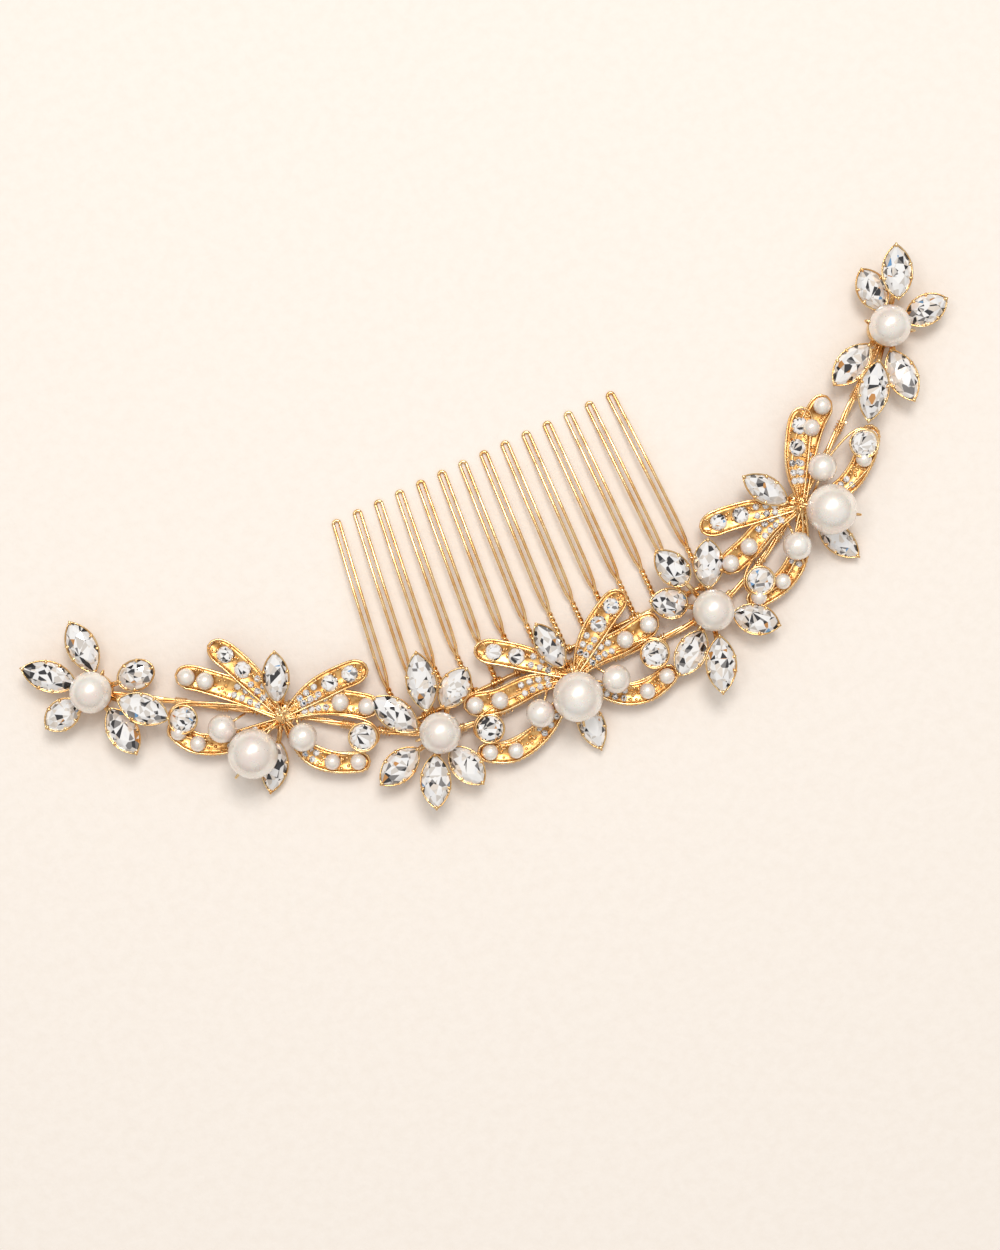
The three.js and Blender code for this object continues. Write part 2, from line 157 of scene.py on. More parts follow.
def goldMaterial(look):
    material, nodes, links, shader = newMaterial(look["name"])
    shader.inputs["Metallic"].default_value = 1
    patches = noiseOn(nodes, links, look["patchScale"], 3)
    colour = rampFrom(nodes, links, patches.outputs["Fac"], [(0.36, look["deep"]), (0.62, look["pale"])])
    links.new(colour.outputs["Color"], shader.inputs["Base Color"])
    grain = noiseOn(nodes, links, look["grainScale"], 2)
    low, high = look["rough"]
    rough = rampFrom(nodes, links, grain.outputs["Fac"], [(0.3, (low,) * 3), (0.75, (high,) * 3)])
    links.new(rough.outputs["Color"], shader.inputs["Roughness"])
    addBump(nodes, links, grain.outputs["Fac"], look["bump"], 0.00004, shader)
    return material


pearlLook = {
    "name": "ivoryPearlLustre",
    "cream": (0.91, 0.85, 0.78), "rose": (0.90, 0.79, 0.74), "white": (0.96, 0.93, 0.89),
    "cloudScale": 260, "skinScale": 700, "rough": (0.26, 0.34),
    "shader": {"Subsurface Weight": 0.25, "Subsurface Radius": (0.9, 0.6, 0.45), "Subsurface Scale": 0.001,
               "Metallic": 0.3, "Coat Weight": 0.9, "Coat Roughness": 0.07, "Specular IOR Level": 0.7},
}


def pearlMaterial(look):
    material, nodes, links, shader = newMaterial(look["name"])
    clouds = noiseOn(nodes, links, look["cloudScale"], 3)
    colour = rampFrom(nodes, links, clouds.outputs["Fac"],
                      [(0.32, look["rose"]), (0.5, look["cream"]), (0.68, look["white"])])
    links.new(colour.outputs["Color"], shader.inputs["Base Color"])
    skin = noiseOn(nodes, links, look["skinScale"], 1)
    low, high = look["rough"]
    rough = rampFrom(nodes, links, skin.outputs["Fac"], [(0.3, (low,) * 3), (0.7, (high,) * 3)])
    links.new(rough.outputs["Color"], shader.inputs["Roughness"])
    addBump(nodes, links, skin.outputs["Fac"], 0.02, 0.00002, shader)
    setInputs(shader, look["shader"])
    return material


# the colours of the stones are painted reflections: black, grey, white and beige facets stand for a dark and
# bright room seen in them, and orange and blue ones are painted fire; the coat adds real gloss on top
crystalLook = {
    "name": "foiledCutCrystal", "cellScale": 560,
    "shader": {"Metallic": 0.3, "Roughness": 0.05, "Coat Weight": 1, "Coat Roughness": 0.02},
    "tones": [(0.0, (0.02, 0.02, 0.025)), (0.10, (0.24, 0.23, 0.23)), (0.19, (0.98, 0.98, 0.99)),
              (0.46, (0.70, 0.66, 0.62)), (0.58, (1.0, 1.0, 1.0)), (0.80, (0.84, 0.76, 0.68)),
              (0.90, (0.93, 0.94, 0.97)), (0.977, (0.62, 0.28, 0.07)), (0.989, (0.16, 0.38, 0.70))],
}


def crystalMaterial(look):
    material, nodes, links, shader = newMaterial(look["name"])
    place = nodes.new("ShaderNodeTexCoord")
    # Voronoi cells in the stone's own space paint sharp-edged inner reflections
    cells = addNode(nodes, "ShaderNodeTexVoronoi", Scale=look["cellScale"])
    links.new(place.outputs["Object"], cells.inputs["Vector"])
    # each facet's own tone shifts the cells, so neighbouring facets show different painted reflections
    facetReflectionShift = nodes.new("ShaderNodeVertexColor")
    facetReflectionShift.layer_name = "facetTone"
    blend = nodes.new("ShaderNodeMath")
    blend.operation = "ADD"
    split = nodes.new("ShaderNodeSeparateColor")
    links.new(cells.outputs["Color"], split.inputs["Color"])
    links.new(split.outputs["Red"], blend.inputs[0])
    links.new(facetReflectionShift.outputs["Color"], blend.inputs[1])
    wrap = nodes.new("ShaderNodeMath")
    wrap.operation = "FRACT"
    links.new(blend.outputs[0], wrap.inputs[0])
    tones = rampFrom(nodes, links, wrap.outputs[0], look["tones"], constant=True)
    links.new(tones.outputs["Color"], shader.inputs["Base Color"])
    setInputs(shader, look["shader"])
    return material


gold = goldMaterial(goldLook)
recessShadeGold = goldMaterial(recessShadeLook)
pearl = pearlMaterial(pearlLook)
crystal = crystalMaterial(crystalLook)
print("materials made")


# a finished bmesh in millimetres becomes a piece in metres that rides on its body
def newPiece(name, bm, material, body="root", replaced=(), smooth=True):
    bmesh.ops.scale(bm, vec=(mm, mm, mm), verts=bm.verts)
    mesh = bpy.data.meshes.new(name)
    bm.to_mesh(mesh)
    bm.free()
    piece = bpy.data.objects.new(name, mesh)
    bpy.context.scene.collection.objects.link(piece)
    mesh.materials.append(material)
    for face in mesh.polygons:
        face.use_smooth = smooth
    return settle(piece, body, replaced)


def settle(piece, body, replaced):
    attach(piece, body)
    if replaced:
        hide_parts(*replaced)
    return piece


# wires are curves with a round section and closed ends
def wirePiece(name, runs, radius, body="root", replaced=(), sides=2):
    curve = bpy.data.curves.new(name, "CURVE")
    curve.dimensions = "3D"
    curve.bevel_depth = radius * mm
    curve.bevel_resolution = sides
    curve.use_fill_caps = True
    for run in runs:
        spline = curve.splines.new("POLY")
        spline.points.add(len(run) - 1)
        for point, place in zip(spline.points, run):
            point.co = (*(place * mm), 1)
        spline.use_smooth = True
    piece = bpy.data.objects.new(name, curve)
    bpy.context.scene.collection.objects.link(piece)
    curve.materials.append(gold)
    return settle(piece, body, replaced)


# rounds the corners of a bent wire, and leaves its straight runs straight
def rounded(points, reach, steps=6):
    path = [points[0]]
    for before, corner, after in zip(points, points[1:], points[2:]):
        start = corner + (before - corner).normalized() * min(reach, (before - corner).length * 0.45)
        end = corner + (after - corner).normalized() * min(reach, (after - corner).length * 0.45)
        for step in range(steps + 1):
            t = step / steps
            path.append(start * (1 - t) ** 2 + corner * 2 * t * (1 - t) + end * t * t)
    return path + [points[-1]]


def smoothThrough(points, steps):
    path = []
    for i in range(len(points) - 1):
        a, b = points[max(i - 1, 0)], points[i]
        c, d = points[i + 1], points[min(i + 2, len(points) - 1)]
        for step in range(steps):
            t = step / steps
            path.append((b * 2 + (c - a) * t + (a * 2 - b * 5 + c * 4 - d) * t * t
                         + (b * 3 - a - c * 3 + d) * t ** 3) / 2)
    return path + [points[-1].copy()]


# a strand that winds round a path: radius, turns over the whole path, and where it starts
def woundRound(path, radius, turns, phase):
    strand = []
    for i, place in enumerate(path):
        ahead = path[min(i + 1, len(path) - 1)] - path[max(i - 1, 0)]
        side = ahead.cross(up).normalized()
        rise = side.cross(ahead).normalized()
        angle = phase + math.tau * turns * i / (len(path) - 1)
        strand.append(place + side * math.cos(angle) * radius + rise * math.sin(angle) * radius)
    return strand


def resampled(path, count):
    lengths = [0.0]
    for a, b in zip(path, path[1:]):
        lengths.append(lengths[-1] + (b - a).length)
    result, i = [], 0
    for n in range(count):
        target = lengths[-1] * n / (count - 1)
        while i < len(path) - 2 and lengths[i + 1] < target:
            i += 1
        span = lengths[i + 1] - lengths[i]
        result.append(path[i].lerp(path[i + 1], (target - lengths[i]) / span if span else 0))
    return result


vine = {
    "overhang": 1.8, "strands": 4, "strandRadius": 0.27, "bundleRadius": 0.38, "turns": 9,
    "wrapWire": 0.16, "wrapReach": 0.80, "wrapTurns": 4, "wrapSpacing": 17,
    "samples": 420,
}


def vinePath():
    points = [arcPoint(name) + arcShift + up * levels["vine"] for name in motifs]
    first = points[0] + (points[0] - points[1]).normalized() * vine["overhang"]
    last = points[-1] + (points[-1] - points[-2]).normalized() * vine["overhang"]
    return resampled(smoothThrough([first, *points, last], 24), vine["samples"])


def makeVine():
    path = vinePath()
    strands = [woundRound(path, vine["bundleRadius"], vine["turns"], math.tau * n / vine["strands"])
               for n in range(vine["strands"])]
    wirePiece("vineCoreWires", strands, vine["strandRadius"], replaced=["vine_wire"])
    draw = random.Random(11)
    wraps = []
    for start in range(6, len(path) - 12, vine["wrapSpacing"]):
        first = start + draw.randrange(-3, 4)
        piece = path[max(first, 0):first + 6]
        turns = vine["wrapTurns"] + draw.choice([-1, 0, 1])
        phase = draw.uniform(0, math.tau)
        wraps.append(woundRound(resampled(piece, turns * 12), vine["wrapReach"], turns, phase))
    wirePiece("vineBindingWraps", wraps, vine["wrapWire"], sides=1)
    print("vine made")


combRow = {
    "count": 14, "rootPitch": 5.08, "tipPitch": 4.65, "rootShift": -2.7, "tipShift": -0.9, "wire": 0.33,
    "legs": 1.3, "rootLift": 0.5, "coilTurns": 1.4, "coilSteps": 18, "coilStart": 0.3, "coilRun": 0.75,
    "barY": 6.71, "barRadius": 0.45, "mergeY": 14.91, "tipY": 49.57, "bow": 1.9, "twist": 0.27, "twists": 3.2,
}


# one hairpin: wound on the bar, twisted at its root, up one leg, round the tip and back
def prongPath(index):
    row = combRow
    step = index - (row["count"] - 1) / 2
    rootX = step * row["rootPitch"] + row["rootShift"]
    tipX = step * row["tipPitch"] + row["tipShift"]
    half = row["legs"] / 2
    rootZ = levels["bar"] + row["rootLift"]
    bodyZ = levels["bar"] + row["bow"]

    def at(along, side):
        y = row["mergeY"] + (row["tipY"] - half - row["mergeY"]) * along
        bow = rootZ + (bodyZ - rootZ) * math.sin(math.pi * min(along * 1.15, 1))
        drop = max(0, along - 0.75) / 0.25
        z = bow + (row["wire"] + 0.06 - rootZ) * drop * drop
        return Vector((rootX + (tipX - rootX) * along + side, y, z))

    leg = [0.06, 0.16, 0.3, 0.45, 0.6, 0.72, 0.8, 0.86, 0.92]
    points = [at(along, -half * (0.75 if along < 0.1 else 1)) for along in leg]
    for n in range(9):
        angle = math.pi - math.pi * n / 8
        tip = at(1, half * math.cos(angle))
        tip.y += half * math.sin(angle)
        points.append(tip)
    points += [at(along, half * (0.75 if along < 0.1 else 1)) for along in reversed(leg)]
    hairpin = smoothThrough(points, 4)

    barStart = Vector((rootX, row["barY"], levels["bar"]))
    axis = resampled([barStart + Vector((0, 0.7, 0.3)), Vector((rootX, row["mergeY"], rootZ))], 44)
    first = woundRound(axis, row["twist"], row["twists"], math.pi)
    second = woundRound(axis, row["twist"], row["twists"], 0)
    coilRadius = row["barRadius"] + row["wire"] * 0.5

    def coil(side):
        turns = []
        last = row["coilSteps"] - 1
        for n in range(row["coilSteps"]):
            angle = math.pi / 2 - math.tau * row["coilTurns"] * n / last
            along = side * (row["coilStart"] + row["coilRun"] * n / last)
            y, z = coilRadius * math.sin(angle), coilRadius * math.cos(angle)
            turns.append(barStart + Vector((along, y, z)))
        return turns

    return list(reversed(coil(-1))) + first + hairpin + list(reversed(second)) + coil(1)


def makeComb():
    for index in range(combRow["count"]):
        path = [place + arcShift for place in prongPath(index)]
        node = f"prong_{index + 1:02d}"
        wirePiece(f"hairpinProng{index + 1:02d}", [path], combRow["wire"], replaced=[node])
    low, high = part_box("comb_bar")
    y, z = (low.y + high.y) / 2 / mm, levels["bar"]
    run = [Vector((low.x / mm + (high.x - low.x) / mm * n / 40, y, z)) for n in range(41)]
    wirePiece("combBar", [run], combRow["barRadius"], replaced=["comb_bar"], sides=4)
    print("comb made")


pearls = {"bore": 0.55, "arcSteps": 30, "turnSteps": 48, "wire": 0.25, "overhang": 0.95, "skin": 0.01}


# a drilled pearl, turned about its bore: its skin is shaded smooth and the bore is not
def pearlPiece(name, node, radius, joint):
    bore = pearls["bore"]
    edge = math.atan2(bore, math.sqrt(radius * radius - bore * bore))
    bm = bmesh.new()
    previous = None
    for n in range(pearls["arcSteps"] + 1):
        angle = edge + (math.pi - 2 * edge) * n / pearls["arcSteps"]
        vertex = bm.verts.new((radius * math.cos(angle), radius * math.sin(angle), 0))
        if previous:
            bm.edges.new((previous, vertex))
        previous = vertex
    bm.verts.ensure_lookup_table()
    bm.edges.new((bm.verts[0], bm.verts[-1]))
    bmesh.ops.spin(bm, geom=bm.verts[:] + bm.edges[:], axis=(1, 0, 0), cent=(0, 0, 0), angle=math.tau,
                   steps=pearls["turnSteps"], use_merge=True)
    bmesh.ops.recalc_face_normals(bm, faces=bm.faces)
    turn = Vector((1, 0, 0)).rotation_difference(Vector(joint["axis"])).to_matrix().to_4x4()
    place = Matrix.Translation(Vector(joint["pos_m"]) / mm)
    bmesh.ops.transform(bm, matrix=place @ turn, verts=bm.verts)
    piece = newPiece(name, bm, pearl, body=joint["child"], replaced=[node])
    middle = Vector(joint["pos_m"]) / mm
    for face in piece.data.polygons:
        face.use_smooth = all(
            abs((piece.data.vertices[v].co / mm - middle).length - radius) < pearls["skin"]
            for v in face.vertices)
    return piece


def makePearls():
    for node, joint in pearlJoints.items():
        pearlPiece(camel(node), node, radiusOf(node), joint)
    print("pearls made")


stoneCut = {"crown": 1.2, "girdle": 0.3, "pavilion": 1.3, "table": 0.5, "keel": 0.12, "sides": 16}


def marquiseReach(length, width, angle):
    circle = (length * length + width * width) / (4 * width)
    shift = circle - width / 2
    rise = abs(math.sin(angle)) * shift
    return math.sqrt(rise * rise + circle * circle - shift * shift) - rise


def pearReach(length, width, angle):
    if math.cos(angle) > 0:
        return marquiseReach(length * 1.16, width, angle)
    a, b = length * 0.42, width / 2
    return a * b / math.hypot(b * math.cos(angle), a * math.sin(angle))


def ovalReach(length, width, angle):
    return length * width / 2 / math.hypot(width * math.cos(angle), length * math.sin(angle))


outlines = {"marquise": marquiseReach, "pear": pearReach, "oval": ovalReach}


# closes a stone's points as a hull, and gives each facet its own tone, which picks its painted reflection
def facetHull(stone, seed):
    bmesh.ops.convex_hull(stone, input=stone.verts)
    bmesh.ops.recalc_face_normals(stone, faces=stone.faces)
    tone = stone.loops.layers.color.new("facetTone")
    draw = random.Random(seed)
    for face in stone.faces:
        value = draw.random()
        for loop in face.loops:
            loop[tone] = (value, value, value, 1)


# a cut stone is the hull of its table, star, girdle and pavilion rings
def cutStone(bm, matrix, length, width, shape="marquise", seed=0):
    reach = outlines[shape]
    sides = stoneCut["sides"]
    stone = bmesh.new()
    rings = [(stoneCut["table"], stoneCut["crown"] + stoneCut["girdle"], 2, 0),
             (0.78, stoneCut["crown"] * 0.62 + stoneCut["girdle"], 2, 1),
             (1, stoneCut["girdle"], 1, 0), (1, 0, 1, 0), (0.5, -stoneCut["pavilion"] * 0.6, 2, 1)]
    for size, height, stride, start in rings:
        for n in range(start, sides, stride):
            angle = math.tau * n / sides
            r = reach(length, width, angle) * size
            stone.verts.new((r * math.cos(angle), r * math.sin(angle), height))
    for end in (1, -1):
        stone.verts.new((length * stoneCut["keel"] * end, 0, -stoneCut["pavilion"]))
    facetHull(stone, seed)
    bmesh.ops.transform(stone, matrix=matrix, verts=stone.verts)
    merge(bm, stone)


def merge(bm, other):
    mesh = bpy.data.meshes.new("part")
    other.to_mesh(mesh)
    other.free()
    bm.from_mesh(mesh)
    bpy.data.meshes.remove(mesh)


def standing(u, v, turn, height, tilt):
    return (Matrix.Translation((u, v, height)) @ Matrix.Rotation(math.radians(turn), 4, "Z")
            @ Matrix.Rotation(math.radians(-tilt), 4, "Y"))


cupStyle = {
    "margin": 0.34, "wall": 0.24, "sides": 32, "claws": (0, 62, 118, 180, 242, 298),
    "clawRadius": 0.36, "clawInset": 0.05, "clawHeight": 0.55, "clawStretch": (1.5, 0.85, 0.8),
    # share of the outline and height, from the floor up
    "profile": [(0.30, -1.75), (0.62, -1.55), (0.92, -0.75), (1.0, 0.0), (1.0, 0.42)],
}


# a thin open cup that follows a stone's outline, with claws that reach over its edge
def stoneCup(bm, matrix, length, width, shape="marquise"):
    reach = outlines[shape]
    cup = bmesh.new()
    sides = cupStyle["sides"]
    rings = []
    for size, height in cupStyle["profile"]:
        ring = []
        for n in range(sides):
            angle = math.tau * n / sides
            r = (reach(length, width, angle) + cupStyle["margin"]) * size
            ring.append(cup.verts.new((r * math.cos(angle), r * math.sin(angle), height)))
        rings.append([cup.edges.new((ring[n], ring[(n + 1) % sides])) for n in range(sides)])
    for lower, upper in zip(rings, rings[1:]):
        bmesh.ops.bridge_loops(cup, edges=lower + upper)
    bmesh.ops.recalc_face_normals(cup, faces=cup.faces)
    bmesh.ops.solidify(cup, geom=cup.faces[:], thickness=cupStyle["wall"])
    for degrees in cupStyle["claws"]:
        angle = math.radians(degrees)
        r = reach(length, width, angle) - cupStyle["clawInset"]
        claw = bmesh.ops.create_uvsphere(cup, u_segments=8, v_segments=6,
                                         radius=cupStyle["clawRadius"])
        seat = Matrix.Translation((math.cos(angle) * r, math.sin(angle) * r, cupStyle["clawHeight"]))
        seat = seat @ Matrix.Rotation(angle, 4, "Z") @ Matrix.Diagonal((*cupStyle["clawStretch"], 1))
        bmesh.ops.transform(cup, matrix=seat, verts=claw["verts"])
    bmesh.ops.transform(cup, matrix=matrix, verts=cup.verts)
    merge(bm, cup)


def lathe(bm, matrix, profile, steps=36):
    turned = bmesh.new()
    verts = [turned.verts.new((r, 0, z)) for r, z in profile]
    for a, b in zip(verts, verts[1:]):
        turned.edges.new((a, b))
    bmesh.ops.spin(turned, geom=turned.verts[:] + turned.edges[:], axis=(0, 0, 1), cent=(0, 0, 0),
                   angle=math.tau, steps=steps, use_merge=True)
    bmesh.ops.remove_doubles(turned, verts=turned.verts, dist=0.0005)
    bmesh.ops.recalc_face_normals(turned, faces=turned.faces)
    bmesh.ops.transform(turned, matrix=matrix, verts=turned.verts)
    merge(bm, turned)


def rod(bm, start, end, radiusStart, radiusEnd, segments=10):
    along = end - start
    place = Matrix.Translation((start + end) / 2) @ up.rotation_difference(along).to_matrix().to_4x4()
    bmesh.ops.create_cone(bm, cap_ends=True, cap_tris=False, segments=segments, radius1=radiusStart,
                          radius2=radiusEnd, depth=along.length, matrix=place)


def ball(bm, place, radius, stretch=(1, 1, 1), rings=8):
    matrix = Matrix.Translation(place) @ Matrix.Diagonal((*stretch, 1))
    bmesh.ops.create_uvsphere(bm, u_segments=rings * 2, v_segments=rings, radius=radius, matrix=matrix)


flowers = {
    "setting": {"plate": 3.6, "plateThickness": 1.2, "deck": 3.9, "wall": 0.9, "saddle": 3, "play": 1.1,
                "arm": 0.5, "beads": 12, "beadRadius": 0.42, "pearlRadius": 4.15, "wireFoot": 3.6},
    "width": 5.6,
    # along the vine, across it, turn, length, height, tilt and outline of each stone
    "flower_a": [(-5.6, 7.2, 140, 11, 5, 8, "marquise"), (-9.2, -0.8, 188, 11.2, 5, 6, "marquise"),
                 (-3.6, -6.6, -116, 8, 5, 0, "marquise"), (8.6, -4.6, -34, 10.4, 5, 4, "marquise"),
                 (10.8, 1.3, 4, 10.6, 8.3, 0, "marquise"), (6.4, 6.6, 48, 7.4, 5, 10, "oval")],
    "flower_c": [(-8.2, 5.2, 134, 10.8, 5, 6, "marquise"), (-1.9, 10.6, 90, 12, 7.4, 10, "marquise"),
                 (4.3, 8.2, 48, 9, 5, 6, "marquise"), (4.0, -7.4, -58, 9.4, 5, 4, "marquise"),
                 (-2.6, -9.3, -98, 10.6, 7.4, 4, "marquise"), (-9.2, -5.2, -146, 10, 5, 4, "marquise")],
    "flower_e": [(-0.9, 11.2, 95, 8.6, 7.4, 6, "pear"), (5.3, 7.7, 52, 9.6, 5, 8, "marquise"),
                 (-5.4, 6.2, 134, 7.2, 5, 4, "pear"), (5.6, -6.9, -54, 9.4, 5, 4, "marquise"),
                 (-8.6, -3.8, -158, 10, 5, 2, "marquise"), (-5.6, -9.2, -126, 11.2, 8.3, 0, "marquise")],
    "flower_g": [(6.2, 5.2, 46, 9, 5, 6, "marquise"), (10.6, 1.8, 20, 10.6, 8.3, 0, "marquise"),
                 (5.6, -6.2, -44, 9, 5, 6, "marquise"), (-8.2, -5.6, -138, 11, 5, 4, "marquise"),
                 (-9.2, 4.6, 156, 10.6, 5, 4, "marquise"), (-13.2, -0.8, -172, 12, 8.3, -4, "marquise")],
}


def flowerSetting(name):
    style = flowers["setting"]
    bm = bmesh.new()
    plate, thick = style["plate"], style["plateThickness"]
    lathe(bm, Matrix(), [(0, 0), (plate - 0.15, 0), (plate, 0.2), (plate, thick - 0.3), (plate - 0.3, thick),
                         (plate - 0.7, thick - 0.15), (plate - 1.1, thick), (0, thick)])
    low, top, deck = levels["deckBottom"], levels["deckTop"], style["deck"]
    lathe(bm, Matrix(), [(0, low), (deck - 0.3, low), (deck, low + 0.3), (deck - 0.1, top - 0.2),
                         (deck - 0.5, top - 0.05), (deck - 0.9, top - 0.25), (0, top - 0.1)])
    for side in (-1, 1):
        wall = Matrix.Translation((0, side * (style["play"] + style["wall"] / 2), top / 2 - 0.1))
        wall = wall @ Matrix.Diagonal((style["saddle"], style["wall"], top - 0.2, 1))
        made = bmesh.ops.create_cube(bm, size=1, matrix=wall)
        edges = {edge for vertex in made["verts"] for edge in vertex.link_edges}
        bmesh.ops.bevel(bm, geom=list(edges), offset=0.18, segments=2, profile=0.5, affect="EDGES",
                        material=-1)
    for number in range(style["beads"]):
        angle = math.tau * number / style["beads"]
        edge = deck - 0.35
        ball(bm, Vector((math.cos(angle) * edge, math.sin(angle) * edge, top)), style["beadRadius"])
    for u, v, turn, length, height, tilt, shape in flowers[name]:
        matrix = standing(u, v, turn, height, tilt)
        stoneCup(bm, matrix, length, flowers["width"], shape)
        azimuth = math.atan2(v, u)
        rim = Vector((math.cos(azimuth) * (deck - 0.6), math.sin(azimuth) * (deck - 0.6), (low + top) / 2))
        rod(bm, rim, matrix @ Vector((-length / 5, 0, -1.65)), style["arm"] * 1.2, style["arm"] * 0.8)
    bmesh.ops.transform(bm, matrix=hubMatrix(name), verts=bm.verts)
    newPiece(camel(name) + "Setting", bm, gold, replaced=[f"{name}_setting"])


def makeFlowers():
    for name in [motif for motif in motifs if motif.startswith("flower")]:
        joint = pearlJoints[f"{name}_pearl"]
        flowerSetting(name)
        for number, (u, v, turn, length, height, tilt, shape) in enumerate(flowers[name], 1):
            bm = bmesh.new()
            matrix = hubMatrix(name) @ standing(u, v, turn, height, tilt)
            cutStone(bm, matrix, length, flowers["width"], shape, seed=number * 7 + len(name))
            newPiece(f"{camel(name)}Stone{number}", bm, crystal,
                     replaced=[f"{name}_stone_{number}"], smooth=False)
        makePearlWire(f"{camel(name)}PearlWire", joint)
    print("flowers made")


# the wire of a flower's pearl: up from the deck, through the bore, and down again
def makePearlWire(name, joint):
    middle = Vector(joint["pos_m"]) / mm
    along = Vector(joint["axis"])
    foot = flowers["setting"]["wireFoot"]
    knee = flowers["setting"]["pearlRadius"] + pearls["overhang"]
    deck = Vector((middle.x, middle.y, (levels["deckBottom"] + levels["deckTop"]) / 2))
    corners = [deck + along * foot, middle + along * knee, middle - along * knee, deck - along * foot]
    wirePiece(name, [rounded(corners, 0.7)], pearls["wire"])


sprays = {
    "leafThickness": 0.9, "dish": 0.45, "hub": 2.7, "chaton": 3.0, "chatonInset": 3.1, "chatonV": -2.9,
    # how far the loops reach left and right, and where the pearls sit on the four leaves along the vine
    "spray_b": {"reach": (22.4, 19.6), "pearls": {
        "upper": [((-15.8, 5.1), (-19.6, 5.5)), ((11.3, 3.5), (16.6, 3.2))],
        "lower": [((-16, -7.4), (-20, -5.6)), ((10.9, -8.4), (16, -7.9))]}},
    "spray_d": {"reach": (22.4, 19.6), "pearls": {
        "upper": [((-15.2, 1.4), (-20.1, 2.5)), ((12.4, 2.1), (17.8, 2.9))],
        "lower": [((-16.4, -9), (-21.2, -7.2)), ((12.2, -9), (16.9, -7.9))]}},
    "spray_f": {"reach": (19.8, 20.4), "pearls": {
        "upper": [((-12.7, 2.9), (-17.5, 3.8)), ((13.6, 7.3), (18.3, 8.2))],
        "lower": [((-14.1, -6.6), (-19.4, -4.7)), ((14.9, -4.8), (19.1, -3.1))]}},
    "freeTips": [(-15.7, 12.6), (15.9, 10.9)],
    # along the vine, across it, turn, length, height and tilt of the two marquise stones
    "stones": [(-1.8, 7.2, 98, 11, 6.4, 10), (-0.6, -10.6, -93, 11, 1.9, 0)],
    "stoneTrim": 0.7, "rimWire": 0.24,
}


# a leaf follows its middle line: place(s, t) runs from base to tip and from one edge to the other
def leafAlong(line, width, base=0.3, blunt=0.18):
    line = resampled(line, 60)

    def place(s, t, z=0.0):
        spot = min(max(s, 0), 1) * (len(line) - 1)
        i = min(int(spot), len(line) - 2)
        point = line[i].lerp(line[i + 1], spot - i)
        ahead = (line[i + 1] - line[i]).normalized()
        fill = base + (1 - base) * math.sin(math.pi / 2 * min(s / 0.55, 1))
        if s > 1 - blunt:
            fill *= math.sqrt(max(1 - ((s - 1 + blunt) / blunt) ** 2, 0))
        point = point + Vector((-ahead.y, ahead.x, 0)) * (t - 0.5) * width * fill
        point.z = z
        return point

    return place


def flatPoint(pair):
    return Vector((pair[0], pair[1], 0))


# the six leaves of a spray: what they hold, the middle line, the width and where the pearls are
def sprayLeaves(name):
    leaves = []
    for side, tip in zip((-1, 1), sprays["freeTips"]):
        base, end = Vector((side, 0.5, 0)), flatPoint(tip)
        across = Vector((-(end - base).y, (end - base).x, 0)).normalized() * side
        bowed = [base.lerp(end, 0.35) + across * 0.9, base.lerp(end, 0.7) + across * 0.8]
        line = smoothThrough([base, *bowed, end], 14)
        leaves.append(("pave", line, 4.7, []))
    for kind, side, bow, width in (("upper", 1, 0.9, 4.6), ("lower", -1, -2.0, 3.9)):
        for near, far in sprays[name]["pearls"][kind]:
            base = Vector((math.copysign(0.8, near[0]), -0.3 if kind == "upper" else -1.6, 0))
            inner, outer = flatPoint(near), flatPoint(far)
            reach = (outer - inner).normalized()
            middle = base.lerp(inner, 0.5) + up.cross(reach) * math.copysign(bow, reach.x * bow * bow) * side
            end = outer + reach * 2.1 + Vector((0, -0.7 * side, 0))
            leaves.append((kind, smoothThrough([base, middle, inner, outer, end], 12), width, [inner, outer]))
    return leaves


# the gold sheet of a leaf, dished along its middle and turned up at its edges
def leafFloor(place, dish, top):
    bm = bmesh.new()
    bmesh.ops.create_grid(bm, x_segments=36, y_segments=8, size=0.5)
    for vertex in bm.verts:
        s = 0.01 + 0.975 * (vertex.co.x + 0.5)
        t = vertex.co.y + 0.5
        vertex.co = place(s, t, top - dish * math.sin(math.pi * t))
    bmesh.ops.recalc_face_normals(bm, faces=bm.faces)
    bmesh.ops.solidify(bm, geom=bm.faces[:], thickness=sprays["leafThickness"])
    rise = max(vertex.co.z for vertex in bm.verts) - top  # the sheet may have thickened upwards
    bmesh.ops.translate(bm, vec=(0, 0, -rise), verts=bm.verts)
    bmesh.ops.recalc_face_normals(bm, faces=bm.faces)
    return bm


# both edges of a leaf as one run, from its base round the tip and back
def leafRim(place, top, count=34):
    out = [place(0.01 + 0.985 * n / (count - 1), 0, top) for n in range(count)]
    back = [place(0.01 + 0.985 * n / (count - 1), 1, top) for n in range(count)]
    return out + list(reversed(back))


def roundStone(bm, place, radius, height, seed):
    stone = bmesh.new()
    rings = [(0.55, 0.34, 8), (0.84, 0.2, 16), (1, 0.04, 16), (1, -0.04, 16)]
    for size, level, sides in rings:
        for n in range(sides):
            angle = math.tau * (n + (0.5 if sides == 8 else 0)) / sides
            stone.verts.new((radius * size * math.cos(angle), radius * size * math.sin(angle),
                             level * height))
    stone.verts.new((0, 0, -0.55 * height))
    facetHull(stone, seed)
    bmesh.ops.transform(stone, matrix=Matrix.Translation(place), verts=stone.verts)
    merge(bm, stone)


pave = {"stone": 1.7, "height": 1.7, "claw": 0.34, "chip": 0.66}


# small beads of metal cover a leaf's floor, apart from where stones or pearls stand
def fillBeads(metal, place, top, taken, count, seed):
    draw = random.Random(seed)
    for number in range(count):
        s = 0.06 + 0.88 * draw.random()
        t = draw.uniform(0.1, 0.9)
        centre = place(s, t, top - sprays["dish"] * math.sin(math.pi * t) + 0.12)
        if all((flatPoint(centre) - flatPoint(spot)).length > reach for spot, reach in taken):
            ball(metal, centre, draw.uniform(0.26, 0.38), rings=4)


